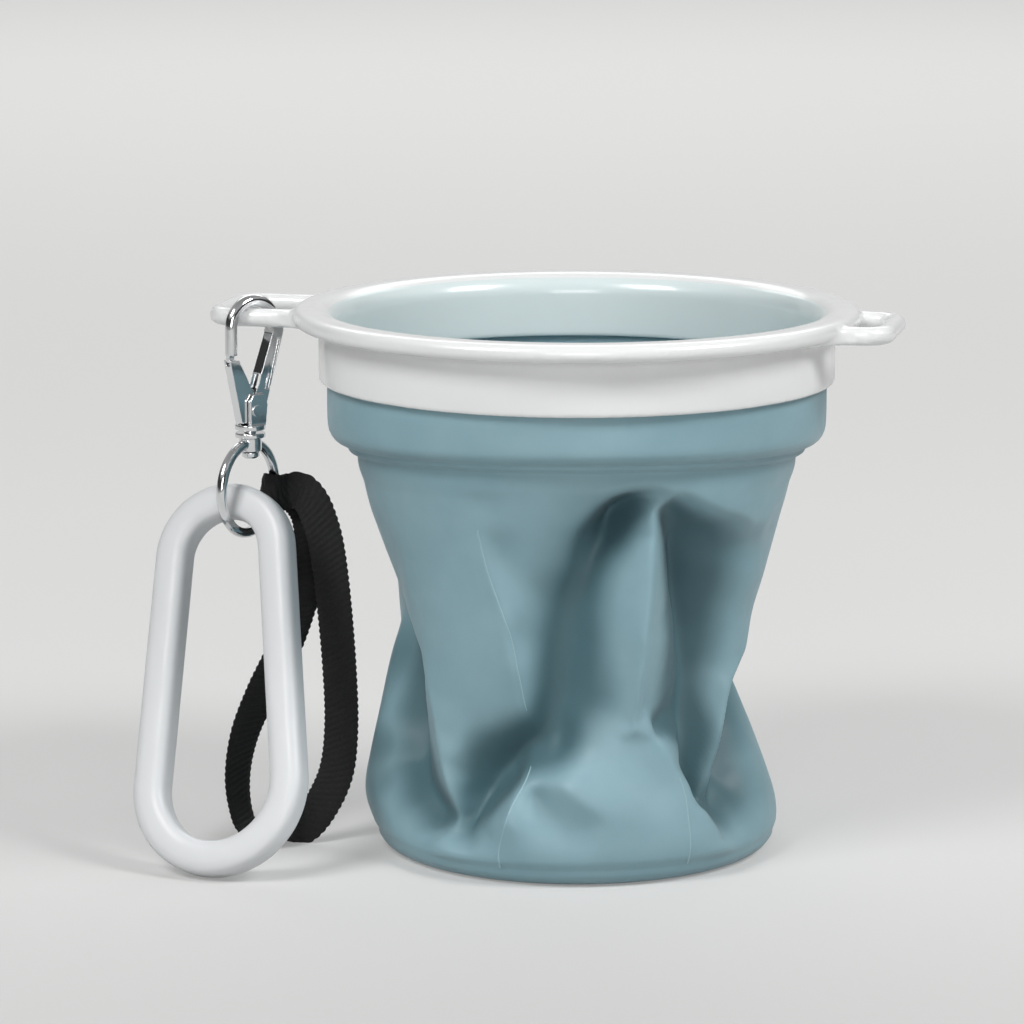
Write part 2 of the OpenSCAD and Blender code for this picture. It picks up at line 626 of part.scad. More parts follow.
module hook_gate() {
    color(steel) at_hook() difference() {
        across(-gate_half, gate_half)
            gate_outline();
        // Fork for the nose's tongue
        translate([nose_x - gate_w, -tongue_w / 2 - side_gap, nose_z - tongue_l - fork_gap])
            cube([gate_w * 1.4, tongue_w + 2 * side_gap, tongue_l + hook_wire_r]);
        // Room for the spring beside the tail
        translate([pivot_x - pin_r * 2, tail_edge, pivot_z - pin_r * 2.4])
            cube([pin_r * 5, gate_half, pin_r * 5.6]);
        translate([pivot_x, hook_t, pivot_z])
            rotate([90, 0, 0])
                cylinder(r = pin_r + turn_gap, h = 2 * hook_t);
    }
}

module gate_pin() {
    color(steel) at_hook() translate([pivot_x, 0, pivot_z]) rotate([90, 0, 0]) {
        translate([0, 0, -hook_t / 2])
            cylinder(r = pin_r, h = hook_t);
        translate([0, 0, hook_t / 2])
            cylinder(r = pin_head_r, h = pin_head_t);
        translate([0, 0, -hook_t / 2 - pin_head_t])
            cylinder(r = pin_head_r, h = pin_head_t);
    }
}

// Two coils round the pin and one leg up the throat
module gate_spring() {
    wire = pin_r * 0.26;
    coil = pin_r + turn_gap + wire;
    first = tail_edge + side_gap + wire;
    leg = pin_r * 1.9;
    color(steel) at_hook() translate([pivot_x, 0, pivot_z]) {
        for (turn = [0, 1])
            translate([0, first + turn * wire * 1.7, 0])
                rotate([90, 0, 0])
                    rotate_extrude()
                        translate([coil, 0])
                            circle(r = wire, $fn = 24);
        translate([coil, first, 0])
            cylinder(r = wire, h = leg, $fn = 24);
    }
}

module swivel_stem() {
    color(steel) at_hook() rotate_extrude()
        polygon([
            [0, head_z],
            [head_r * 0.66, head_z],
            [head_r, head_z + head_t / 3],
            [head_r, head_z + head_t],
            [stem_r, head_z + head_t],
            [stem_r, flange_z + stem_in - flange_t],
            [0, flange_z + stem_in - flange_t]
        ]);
}

module swivel_eye() {
    color(steel) at_hook() difference() {
        union() {
            translate([0, 0, barrel_z])
                cylinder(r = barrel_r, h = barrel_h);
            translate([0, 0, barrel_top - collar_t])
                cylinder(r = collar_r, h = collar_t);
            rotate([0, 0, eye_turn])
                translate([eye_shift, 0, eye_z])
                    rotate([90, 0, 0])
                        rotate_extrude()
                            translate([eye_r, 0])
                                circle(r = eye_wire_r);
        }
        translate([0, 0, barrel_z - barrel_h])
            cylinder(r = stem_r + turn_gap, h = 3 * barrel_h);
        translate([0, 0, head_z - head_t])
            cylinder(r = head_r + run_gap, h = barrel_z - head_z + head_t);
    }
}

// Places a piece drawn flat, its hanging point at the top bar, Y up along the link
module at_link() {
    translate([hang_x, hang_y, hang_z])
        rotate([0, 0, link_turn])
            rotate([90 - link_lean, 0, 0])
                rotate([0, 0, link_tilt])
                    translate([-link_off, -link_arc_h, 0])
                        children();
}

module link_section(grow) {
    w = link_bar_w / 2 + grow - link_round;
    t = link_bar_t / 2 + grow - link_round;
    square([2 * (w + link_round), 2 * t], center = true);
    square([2 * w, 2 * (t + link_round)], center = true);
    for (x = [-1, 1], y = [-1, 1])
        translate([x * w, y * t])
            circle(r = link_round, $fn = 48);
}

// Two rounded ends, a touch thicker than the side bars that run into them
module grip_link() {
    color(white) at_link() union() {
        rotate([0, 0, link_slope])
            rotate_extrude(angle = 180 - 2 * link_slope)
                translate([link_top_r, 0])
                    link_section(link_step);
        for (side = [0, 1])
            mirror([side, 0, 0])
                rotate([0, 0, link_slope])
                    translate([link_top_r, -link_side - link_lap, 0])
                        rotate([-90, 0, 0])
                            linear_extrude(height = link_side + 2 * link_lap)
                                link_section(0);
        translate([0, -link_len, 0])
            rotate([0, 0, 180 - link_slope])
                rotate_extrude(angle = 180 + 2 * link_slope)
                    translate([link_end_r, 0])
                        link_section(link_step);
    }
}

module strap() {
    spans = len(strap_route) - 1;
    many = spans * strap_steps + 1;
    stations = [for (k = [0 : many - 1]) let (i = min(spans - 1, floor(k / strap_steps)))
        curve(i, k / strap_steps - i)];
    spots = [for (s = stations) [wire_x + s[0], wire_y + s[1], max(strap_floor, wire_z + s[2])]];
    half_w = strap_w / 2;
    half_t = strap_t / 2;
    band = [[-half_w, -half_t * 0.4], [-half_w * 0.92, -half_t], [half_w * 0.92, -half_t],
        [half_w, -half_t * 0.4], [half_w, half_t * 0.4], [half_w * 0.92, half_t],
        [-half_w * 0.92, half_t], [-half_w, half_t * 0.4]];
    sides = len(band);
    loops = [for (k = [0 : many - 1]) let (
        along = unit(spots[min(many - 1, k + 1)] - spots[max(0, k - 1)]),
        turn = stations[k][3],
        tip = stations[k][4],
        wish = [cos(turn) * cos(tip), sin(turn) * cos(tip), sin(tip)],
        wide = unit(wish - along * (wish * along)),
        thick = cross(along, wide))
        [for (b = band) let (p = spots[k] + wide * b[0] + thick * b[1])
            [p[0], p[1], max(0, p[2])]]];
    points = [for (l = loops) each l];
    skin = [for (k = [0 : many - 2]) for (m = [0 : sides - 1])
        let (a = k * sides + m, b = k * sides + (m + 1) % sides)
        each [[a, b, b + sides], [a, b + sides, a + sides]]];
    start = [for (m = [1 : sides - 2]) [0, m + 1, m]];
    last = (many - 1) * sides;
    end = [for (m = [1 : sides - 2]) [last, last + m, last + m + 1]];
    color(black)
        polyhedron(points = points, faces = concat(skin, start, end), convexity = 8);
}

rim_collar();
clamp_ring();
silicone_cuff();
silicone_wall();
silicone_base();
hook_body();
hook_gate();
gate_pin();
gate_spring();
swivel_stem();
swivel_eye();
grip_link();
strap();
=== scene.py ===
"""Dressing of the collapsible bowl: silicone cup, white rim, chrome snap hook, grip link and strap."""
import math

import bmesh
import bpy
import numpy as np
from mathutils import Matrix, Vector
from mathutils.geometry import delaunay_2d_cdt


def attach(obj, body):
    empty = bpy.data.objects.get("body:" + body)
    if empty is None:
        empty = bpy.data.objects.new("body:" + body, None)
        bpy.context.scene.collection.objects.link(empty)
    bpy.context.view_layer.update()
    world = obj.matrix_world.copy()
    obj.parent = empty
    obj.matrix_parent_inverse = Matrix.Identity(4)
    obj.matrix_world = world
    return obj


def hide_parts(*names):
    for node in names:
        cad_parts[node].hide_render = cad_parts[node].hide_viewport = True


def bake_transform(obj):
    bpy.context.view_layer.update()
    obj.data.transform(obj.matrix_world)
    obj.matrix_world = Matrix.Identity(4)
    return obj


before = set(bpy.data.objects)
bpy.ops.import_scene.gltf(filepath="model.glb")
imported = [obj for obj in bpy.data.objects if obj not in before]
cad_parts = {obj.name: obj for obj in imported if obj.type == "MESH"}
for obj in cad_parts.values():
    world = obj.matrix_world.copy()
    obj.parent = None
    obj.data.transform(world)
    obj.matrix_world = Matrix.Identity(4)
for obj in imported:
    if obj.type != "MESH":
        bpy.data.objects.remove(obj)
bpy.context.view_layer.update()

MM = 0.001

# Camera
CAMERA_AT = (-0.01756, -1.283, 0.3251)
CAMERA_TILT = 79.69
CAMERA_LENS = 168.1
SENSOR_W = 36

camera_data = bpy.data.cameras.new("camera")
camera_data.lens = CAMERA_LENS
camera_data.sensor_width = SENSOR_W
camera_data.clip_start = 0.01
camera = bpy.data.objects.new("camera", camera_data)
camera.location = CAMERA_AT
camera.rotation_euler = (math.radians(CAMERA_TILT), 0, 0)
bpy.context.scene.collection.objects.link(camera)
bpy.context.scene.camera = camera


# Materials
def grey(level):
    return (level, level, level)


def new_material(name, colour, rough, metal=0.0, specular=0.5):
    mat = bpy.data.materials.new(name)
    mat.use_nodes = True
    nodes, links = mat.node_tree.nodes, mat.node_tree.links
    shader = nodes["Principled BSDF"]
    shader.inputs["Base Color"].default_value = (*colour, 1)
    shader.inputs["Roughness"].default_value = rough
    shader.inputs["Metallic"].default_value = metal
    shader.inputs["Specular IOR Level"].default_value = specular
    return mat, nodes, links, shader


def noise(nodes, links, scale, detail=3.0, rough=0.5):
    coords = nodes.new("ShaderNodeTexCoord")
    tex = nodes.new("ShaderNodeTexNoise")
    tex.inputs["Scale"].default_value = scale
    tex.inputs["Detail"].default_value = detail
    tex.inputs["Roughness"].default_value = rough
    links.new(coords.outputs["Object"], tex.inputs["Vector"])
    return tex.outputs["Fac"]


def ramp(nodes, links, fac, stops):
    node = nodes.new("ShaderNodeValToRGB")
    elements = node.color_ramp.elements
    while len(elements) < len(stops):
        elements.new(0.5)
    for element, (place, colour) in zip(elements, stops):
        element.position = place
        element.color = (*colour, 1)
    links.new(fac, node.inputs["Fac"])
    return node.outputs["Color"]


def bump(nodes, links, shader, height, strength, distance):
    node = nodes.new("ShaderNodeBump")
    node.inputs["Strength"].default_value = strength
    node.inputs["Distance"].default_value = distance
    links.new(height, node.inputs["Height"])
    links.new(node.outputs["Normal"], shader.inputs["Normal"])


# The silicone clouds between two tones; painted shade darkens it deep in the folds and a painted highlight
# pales it on parting lines
SILICONE_TONES = [(0.3, (0.222, 0.365, 0.418)), (0.7, (0.262, 0.408, 0.458))]
# Painted shade, deep in the folds and in pockets
CREASE_SHADE_TONE = (0.075, 0.15, 0.175)
# Painted highlight along the parting lines
SEAM_HIGHLIGHT_TONE = (0.30, 0.45, 0.50)


def toned(nodes, links, colour, attribute, tone):
    """The colour, taken toward a tone by a point attribute, which paints shade or a highlight onto it."""
    amount = nodes.new("ShaderNodeAttribute")
    amount.attribute_name = attribute
    mix = nodes.new("ShaderNodeMixRGB")
    mix.inputs["Color2"].default_value = (*tone, 1)
    links.new(amount.outputs["Fac"], mix.inputs["Fac"])
    links.new(colour, mix.inputs["Color1"])
    return mix.outputs["Color"]


def silicone_material():
    mat, nodes, links, shader = new_material("silicone", (0.24, 0.385, 0.44), 0.5, specular=0.4)
    tone = ramp(nodes, links, noise(nodes, links, 38, 4, 0.6), SILICONE_TONES)
    # Painted shade in deep folds and pockets, by the crease attribute
    tone = toned(nodes, links, tone, "crease", CREASE_SHADE_TONE)
    # Painted highlight on the parting-line beads
    tone = toned(nodes, links, tone, "seam_highlight", SEAM_HIGHLIGHT_TONE)
    links.new(tone, shader.inputs["Base Color"])
    rough = ramp(nodes, links, noise(nodes, links, 160, 5, 0.6), [(0.3, grey(0.44)), (0.75, grey(0.60))])
    links.new(rough, shader.inputs["Roughness"])
    bump(nodes, links, shader, noise(nodes, links, 2600, 3, 0.7), 0.10, 0.0004)
    shader.inputs["Sheen Weight"].default_value = 0.08
    shader.inputs["Sheen Roughness"].default_value = 0.4
    return mat


def plastic_material(name, colour, rough, coat):
    mat, nodes, links, shader = new_material(name, colour, rough)
    dull = tuple(c * 0.975 for c in colour)
    tone = ramp(nodes, links, noise(nodes, links, 24, 3), [(0.35, dull), (0.65, colour)])
    links.new(tone, shader.inputs["Base Color"])
    gloss = [(0.3, grey(rough * 0.85)), (0.7, grey(rough * 1.2))]
    links.new(ramp(nodes, links, noise(nodes, links, 90, 4), gloss), shader.inputs["Roughness"])
    bump(nodes, links, shader, noise(nodes, links, 420, 2), 0.04, 0.0003)
    shader.inputs["Coat Weight"].default_value = coat
    shader.inputs["Coat Roughness"].default_value = 0.08
    return mat


def chrome_material():
    mat, nodes, links, shader = new_material("chrome", (0.74, 0.75, 0.76), 0.09, metal=1.0)
    rough = ramp(nodes, links, noise(nodes, links, 700, 4, 0.6), [(0.35, grey(0.06)), (0.75, grey(0.15))])
    links.new(rough, shader.inputs["Roughness"])
    bump(nodes, links, shader, noise(nodes, links, 500, 2), 0.05, 0.0004)
    return mat


def webbing_material():
    mat, nodes, links, shader = new_material("webbing", (0.009, 0.0085, 0.0085), 0.62, specular=0.3)
    tone = ramp(nodes, links, noise(nodes, links, 1500, 4, 0.7),
                [(0.3, grey(0.004)), (0.75, (0.014, 0.0135, 0.013))])
    links.new(tone, shader.inputs["Base Color"])
    bump(nodes, links, shader, noise(nodes, links, 5200, 3, 0.7), 0.5, 0.0004)
    shader.inputs["Sheen Weight"].default_value = 0.03
    return mat


silicone = silicone_material()
white_plastic = plastic_material("white_plastic", (0.80, 0.81, 0.81), 0.22, 0.35)
# The mouth ring's white plastic is greyer and tinted cyan: painted shade inside the mouth and a painted
# reflection of the blue silicone
mouth_ring_shaded_plastic = plastic_material("mouth_ring_shaded_plastic", (0.70, 0.785, 0.785), 0.22, 0.35)
link_plastic = plastic_material("link_plastic", (0.70, 0.715, 0.73), 0.42, 0.05)
chrome = chrome_material()
webbing = webbing_material()


# Mesh helpers
def make_piece(name, verts, faces, material):
    mesh = bpy.data.meshes.new(name)
    mesh.from_pydata([tuple(v) for v in verts], [], [tuple(f) for f in faces])
    shape = bmesh.new()
    shape.from_mesh(mesh)
    bmesh.ops.recalc_face_normals(shape, faces=shape.faces)
    shape.to_mesh(mesh)
    shape.free()
    mesh.polygons.foreach_set("use_smooth", [True] * len(mesh.polygons))
    mesh.materials.append(material)
    mesh.update()
    obj = bpy.data.objects.new(name, mesh)
    bpy.context.scene.collection.objects.link(obj)
    return obj


def grid_faces(rows, cols, wrap_cols=True, wrap_rows=False, first=0, flip=False):
    """Quads between neighbours in a grid of points, counted row by row from the first one."""
    r = np.arange(rows if wrap_rows else rows - 1)
    c = np.arange(cols if wrap_cols else cols - 1)
    rr, cc = np.meshgrid(r, c, indexing="ij")
    r2, c2 = (rr + 1) % rows, (cc + 1) % cols
    quads = np.stack([rr * cols + cc, rr * cols + c2, r2 * cols + c2, r2 * cols + cc], -1)
    quads = quads.reshape(-1, 4) + first
    return quads[:, ::-1] if flip else quads


def ease(x):
    """A smooth step from 0 to 1."""
    x = np.clip(x, 0, 1)
    return x * x * (3 - 2 * x)


def unit(rows):
    """Rows of a vector each, at length 1."""
    return rows / np.linalg.norm(rows, axis=1)[:, None]


def catmull(points, steps):
    """A smooth curve through points, any number of values to a point, with steps to a span."""
    p = np.asarray(points, float)
    p = np.vstack([2 * p[0] - p[1], p, 2 * p[-1] - p[-2]])
    out = []
    for i in range(1, len(p) - 2):
        a, b, c, d = p[i - 1:i + 3]
        for t in np.arange(steps) / steps:
            out.append((2 * b + (c - a) * t + (2 * a - 5 * b + 4 * c - d) * t * t
                        + (3 * b - a - 3 * c + d) * t ** 3) / 2)
    out.append(p[-2])
    return np.array(out)


def softened(name, node, voxel, rounds, material):
    """A rounded copy of a CAD node, as a moulding or casting has no sharp edge."""
    obj = bpy.data.objects.new(name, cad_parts[node].data.copy())
    bpy.context.scene.collection.objects.link(obj)
    obj.data.materials.clear()
    obj.data.materials.append(material)
    weld = obj.modifiers.new("weld", "WELD")
    weld.merge_threshold = 1e-6
    remesh = obj.modifiers.new("remesh", "REMESH")
    remesh.mode = "VOXEL"
    remesh.voxel_size = voxel * MM
    remesh.use_smooth_shade = True
    smooth = obj.modifiers.new("smooth", "SMOOTH")
    smooth.factor = 0.5
    smooth.iterations = rounds
    graph = bpy.context.evaluated_depsgraph_get()
    mesh = bpy.data.meshes.new_from_object(obj.evaluated_get(graph))
    obj.modifiers.clear()
    obj.data = mesh
    mesh.polygons.foreach_set("use_smooth", [True] * len(mesh.polygons))
    mesh.update()
    return obj


# Strap
STRAP_W = 10.0
STRAP_T = 1.3
WIRE_FOOT = np.array([-89.561, 2.366, 85.692])
# Places from the foot of the eye's wire, then the turn and tip of the strap's width in degrees
STRAP_ROUTE = [
    (6, -9, -84, 66, 0), (1.5, -4.5, -84, 66, 0), (-2.5, 0.5, -80, 62, 2), (-4, 4, -70, 52, 4),
    (-2, 6, -58, 40, 4), (3, 8, -46, 28, 2), (10, 9.5, -32, 20, 0), (15, 10, -16, 16, 0),
    (16.6, 12, -6, 20, 8), (15.8, 14.2, 1.5, 28, 24), (13, 16, 6.2, 40, 50),
    (9.5, 16.3, 8.2, 50, 66), (6.1, 14.2, 8.2, 57, 75), (4.1, 11.5, 9.1, 57, 75),
    (3.3, 9, 9.8, 57, 75), (4.5, 7, 10.1, 57, 75), (6.7, 6.6, 9.9, 57, 75), (8.8, 8.4, 9.2, 57, 75),
    (10.6, 9.9, 9.6, 50, 70), (13.8, 9.9, 9.9, 30, 60), (17, 8.2, 6.8, 14, 44),
    (19.3, 6.8, 1.5, 4, 30), (21.2, 5.4, -6, -4, 16), (23, 3.5, -20, -12, 4),
    (24.5, 1.5, -38, -18, 0), (25, -0.5, -54, -20, -4), (23.5, -2.5, -67, -14, -10),
    (18.5, -5.5, -77, 4, -14), (13, -8.5, -82, 30, -8), (6.4, -9.3, -84, 62, 0),
]
# The loop is opened behind the eye's wire, so that the cord starts and ends there
STRAP_SPLIT = 13
STRAP_STEP = 0.24
STRAP_ACROSS = 25
# Weave: slanting ribs, threads along the strap, a stitch line near each edge and scalloped edges
RIB_PITCH = 1.75
RIB_HIGH = 0.30
RIB_SLANT = 1.3
THREAD_HIGH = 0.04
STITCH_AT = 0.84
STITCH_HALF = 0.08
STITCH_DIP = 0.4
SCALLOP_PITCH = 1.75
EDGE_DEPTH = 0.34
# Height over the floor of the strap's middle, in thicknesses, and of any point
STRAP_REST = 0.62
FLOOR_GAP = 0.02


def strap_stations():
    """Distance along the loop, and place, turn and tip of the width there, at even steps."""
    route = np.array(STRAP_ROUTE, float)
    loop = np.vstack([route[STRAP_SPLIT:], route[1:STRAP_SPLIT + 1]])
    line = catmull(loop, 24)
    line[:, :3] += WIRE_FOOT
    line[:, 2] = np.maximum(line[:, 2], STRAP_T * STRAP_REST)
    run = np.concatenate([[0], np.cumsum(np.linalg.norm(np.diff(line[:, :3], axis=0), axis=1))])
    many = int(run[-1] / STRAP_STEP) + 1
    at = np.linspace(0, run[-1], many)
    return at, np.stack([np.interp(at, run, column) for column in line.T], -1)


def make_strap():
    at, line = strap_stations()
    spots = line[:, :3]
    along = unit(np.gradient(spots, axis=0))
    turn, tip = np.radians(line[:, 3]), np.radians(line[:, 4])
    wish = np.stack([np.cos(turn) * np.cos(tip), np.sin(turn) * np.cos(tip), np.sin(tip)], -1)
    wide = unit(wish - along * (wish * along).sum(1)[:, None])
    thick = np.cross(along, wide)
    u = np.linspace(-1, 1, STRAP_ACROSS)
    half_w = STRAP_W / 2 - EDGE_DEPTH + EDGE_DEPTH * np.abs(np.sin(np.pi * at / SCALLOP_PITCH))
    rows = []
    for side in (1, -1):
        phase = at[:, None] / RIB_PITCH + side * u[None] * RIB_SLANT
        rib = RIB_HIGH * np.abs(np.sin(np.pi * phase)) ** 0.8
        rib += THREAD_HIGH * np.cos(np.pi * (STRAP_ACROSS - 1) * u[None] / 2)
        rib *= 1 - STITCH_DIP * (np.abs(np.abs(u[None]) - STITCH_AT) < STITCH_HALF)
        high = (STRAP_T / 2 - EDGE_DEPTH + rib) * (1 - np.abs(u[None]) ** 6 * 0.5)
        order = u[::side]
        rows.append(spots[:, None] + wide[:, None] * (order[None, :, None] * half_w[:, None, None])
                    + thick[:, None] * (side * high[:, ::side, None]))
    ring = np.concatenate(rows, axis=1)
    count, points = ring.shape[:2]
    verts = ring.reshape(-1, 3)
    verts[:, 2] = np.maximum(verts[:, 2], FLOOR_GAP)
    faces = list(grid_faces(count, points))
    faces.append(range(points)[::-1])
    faces.append(range((count - 1) * points, count * points))
    obj = make_piece("wrist_strap", verts * MM, faces, webbing)
    return obj, at[-1], spots


strap, strap_length, strap_path = make_strap()
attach(strap, "eye")
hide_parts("strap")

# Silicone cup
WALL_T = 1.7
NECK_Z = 107.8
NECK_R = 59.4
NECK_LIFT = 4.6
FOOT_Z = 3.4
FOOT_R = 54.2
# Profiles as radius and height: cuff from its top, foot, and the bottom inside
CUFF_PROFILE = [
    (67.4, 131.0), (67.7, 128.4), (67.75, 124), (67.7, 118.5), (67.3, 115.2), (66.0, 112.9),
    (64.2, 111.6), (62.7, 111.1), (62.15, 110.6), (62.05, 109.7), (61.4, 109.0), (60.3, 108.5),
    (NECK_R + 0.15, NECK_Z + 0.4),
]
FOOT_PROFILE = [(FOOT_R, FOOT_Z), (53.0, 1.7), (51.3, 0.6), (49.2, 0.06), (46.5, 0.0), (30, 0.0),
                (12, 0.0), (2, 0.0)]
BOTTOM_PROFILE = [(50.0, 5.0), (47.5, 3.2), (44, 2.7), (30, 2.6), (12, 2.6), (2, 2.6)]
# Height from which the cuff follows the neck's lift
SAG_FROM = 124
# The wall is flattened at this many millimetres to a degree
SPREAD = 0.9
# The photograph's view in its own pixels: focal length, centre, and the height on the axis it aims at
VIEW_FOCAL = 4781.0
VIEW_CENTRE = (512.5, 590.13)
VIEW_AIM_Z = 70
# Points where fold lines meet: pixel across and down, and radius
APEX = (469, 831, 50.0)
PLEAT = (530, 763, 47.0)
ARCH_HEAD = (590, 535, 43.0)
# Fold lines that the photograph shows: softness, then pixel across and down, and radius
SEEN_LINES = [
    (1.7, [(573, 560, 50.4), (582, 531, 53.0), (594, 509, 55.4), (611, 494, 57.2)]),
    (0.9, [(611, 494, 57.2), (632, 485, 58.4), (652, 483.5, 58.8), (672, 491, 58.4),
           (694, 502, 57.6), (719, 512, 57.0), (749, 520, 56.4), (766, 523, 56.0)]),
    (1.2, [ARCH_HEAD, (606, 517, 42.5), (622, 504, 45), (640, 494, 51)]),
    (2.2, [(672, 503, 50.0), (692, 525, 47.0), (714, 539, 48.0), (738, 547, 50.4),
           (760, 548, 52)]),
    (0.5, [(653, 511, 55.4), (652, 540, 54.8), (650.5, 560, 54.6), (647, 600, 54.2),
           (642, 642, 53.8), (637, 694, 53.2), (634, 728, 52.0)]),
    (1.8, [(667, 512, 49.5), (675, 540, 42.0), (677, 575, 38.6), (681, 625, 36.4),
           (684, 670, 36.4), (682, 720, 37.8), (681, 765, 41.0), (682.5, 795, 44.8)]),
    (0.7, [(745, 652, 47.8), (734, 677, 47), (729, 694, 47.2), (719, 741, 47.6),
           (711, 769, 48.0), (701, 806, 48.8)]),
    (0.5, [(406, 602, 47.6), (413, 625, 48.4), (422, 648, 49.2), (428, 681, 49.8),
           (438, 722, 50.2), (445, 759, 50.4), (452, 790, 50.4), (460, 819, 50.2), APEX]),
    (0.6, [APEX, (484, 824, 51.3), (506, 805, 52.0), (520, 788, 51.0), PLEAT]),
    (0.7, [PLEAT, (525, 781, 51.6), (515, 803, 54.0), (509, 819, 55.4)]),
    (0.7, [(641, 704, 49.5), (646, 709, 50.4), (659, 739, 51.6), (672, 763, 52.4),
           (689, 791, 53.4), (701, 806, 54.0), (714, 828, 54.8), (719, 841, 55.2)]),
    (1.5, [(484, 503, 56.6), (481, 528, 55.4), (491, 570, 54.2), (508, 625, 52.6),
           (518, 670, 50.4), (525, 712, 47.6)]),
    (1.4, [(546, 773, 51.6), (566, 789, 54.2), (590, 808, 55.4), (612, 824, 55.9)]),
    (1.1, [(475, 816, 46.4), (483, 797, 43.6), (496, 777, 42.2), (514, 759, 41.4),
           (534, 745, 41.0), (553, 738, 40.8)]),
    (4.2, [ARCH_HEAD, (580, 575, 43.4), (568, 625, 42.6), (561, 660, 41.6), (556, 700, 41.0),
           (553, 738, 40.8), (547, 757, 44.0)]),
]
# Fold lines at the sides and the back: softness, then azimuth from the front, height and radius
SIDE_LINES = [
    (2, [(-93, 66, 46.6), (-92, 56, 50), (-91, 45, 52.5), (-89, 33, 55), (-88, 20, 57.6)]),
    (1.4, [(-87, 66.5, 43), (-85.5, 58, 37), (-84, 46, 36.5), (-81.5, 35, 38.5), (-75, 26, 41),
           (-60, 19, 44.5), (-49, 14.5, 46.5)]),
    (1.4, [(90, 57, 42), (83, 48, 37), (73, 37, 35.5), (62, 25, 39), (52.5, 16.5, 44.5)]),
    (2, [(100, 48, 42.5), (97, 42, 45), (95, 34, 47.8), (94, 26, 50.6), (92, 14, 54.6)]),
    (2, [(146, 97, 54), (148, 75, 42), (150, 55, 36), (152, 35, 38), (150, 18, 48.5)]),
    (1, [(165, 99, 57.4), (168, 75, 52.5), (170, 50, 51), (172, 30, 53), (170, 16, 55.4)]),
    (2, [(186, 95, 54), (188, 72, 41), (188, 50, 36), (186, 30, 39.5), (184, 16, 49.5)]),
    (1, [(206, 97, 57.4), (206, 72, 52.5), (205, 48, 50), (202, 24, 53.6)]),
    (2, [(228, 96, 54.5), (229, 72, 42), (231, 50, 36.5), (234, 28, 41.5), (236, 15, 50.5)]),
    (1, [(250, 97, 57), (251, 75, 52.2), (252, 52, 50)]),
    (1, [(122, 96, 57), (122, 70, 52), (124, 45, 50), (128, 22, 52.5)]),
]
# Lone points of the faces between the lines, given in the same two ways
SEEN_POINTS = [
    (440, 560, 53.2), (470, 600, 52.4), (500, 545, 52.6), (520, 585, 51.2), (530, 640, 47.4),
    (536, 690, 45.4), (544, 600, 47.6), (546, 650, 44.8), (543, 700, 43.0), (460, 680, 50.4),
    (490, 690, 49.6), (460, 705, 49.4), (497, 716, 48.2), (466, 745, 48.2), (492, 738, 46.2),
    (518, 738, 44.2), (472, 780, 46.0), (500, 795, 45.5), (516, 778, 44.5), (632, 530, 51.2),
    (622, 560, 51.4), (615, 600, 50.4), (608, 650, 48.8), (604, 700, 47.0), (628, 690, 50.6),
    (590, 640, 45.6), (583, 700, 44.8), (590, 745, 49.5), (612, 740, 50.8), (536, 790, 49.6),
    (572, 779, 53.4), (556, 812, 52.2), (580, 828, 53.6), (622, 800, 55.4), (600, 846, 56),
    (536, 835, 55.0), (650, 785, 53.0), (650, 820, 55.3), (690, 838, 55.5), (650, 728, 46.5),
    (705, 560, 46.0), (732, 570, 49.8), (755, 575, 52.2), (706, 610, 42.6), (732, 615, 47.3),
    (707, 665, 41.6), (724, 662, 44.8), (706, 722, 43.4), (704, 755, 45.2), (440, 838, 53.3),
]
SIDE_POINTS = [
    (-60, 96, 56), (-30, 98, 56), (-12, 97, 55.4), (-88, 94, 56.3), (72, 98, 57.2), (88, 97, 57),
    (85, 80, 52.4), (82, 70, 49.5), (80, 30, 46.5), (70, 22, 48.8), (80, 18, 52.5),
    (56, 13.5, 51.5), (66, 12, 53.5), (-79, 18.5, 56.8), (-66, 12.5, 55.5), (-56, 10, 54.5),
    (-86, 13, 58), (-62, 13, 56), (105, 90, 55), (105, 60, 45.5), (106, 40, 44), (110, 22, 51),
    (138, 20, 52.5), (160, 20, 54), (193, 22, 53), (218, 20, 54.5), (246, 24, 53.5),
    (257, 30, 54), (258, 14, 57),
]
# Parting lines of the mould: pixel across and down, and radius
SEEN_SEAMS = [
    [(481, 528, 54.5), (482, 536, 53.5), (491, 570, 52.6), (508, 625, 52.6), (518, 670, 50.4),
     (525, 712, 47.6)],
    [(530, 765, 47.8), (525, 781, 51.6), (515, 803, 54.0), (509, 822, 55), (500, 850, 56)],
    [(674, 770, 52.4), (681, 793, 53.2), (686, 820, 55), (689, 850, 56)],
]
# A parting line that comes lower than the first height runs straight down to the second
SEAM_LOW = 12
SEAM_FOOT = 5.0
SEAM_R = 0.30
SEAM_SINK = 0.19
SEAM_TAPER = 6.0
# Grid of the folding wall, round and up
COLS = 420
ROWS = 168
TURNS = (-360, 0, 360)
AZIMUTHS = np.arange(COLS) * 360 / COLS
STEP_U = 360 / COLS * SPREAD
STEP_V = (NECK_Z + NECK_LIFT - FOOT_Z) / (ROWS - 1)
HEIGHTS = FOOT_Z + np.arange(ROWS) * STEP_V
# Rows of the mesh down the wall, outside and inside
OUTER_ROWS = 122
INNER_ROWS = 36
# Points that hold the wall's borders: degrees apart, base bulge, and drop and radius under the neck
BORDER_STEP = 8
BULGE_Z = 7.5
BULGE_R = 55.6
UNDER_NECK = 5
UNDER_NECK_R = 58.2
# Azimuths where the fold under the arch reaches the neck
ARCH_FROM = 0
ARCH_TO = 40
# Roundness, in millimetres, of the wall away from its fold lines
FOLD_SOFT = 2.8
SOFT_LEVELS = np.array([0.5, 0.8, 1.2, 1.6, 2.0, 2.8, 4.2])
# How fast a line's own roundness gives way to that, for sharp lines and for rounder ones
SHARP_FADE = 0.22
ROUND_FADE = 0.3
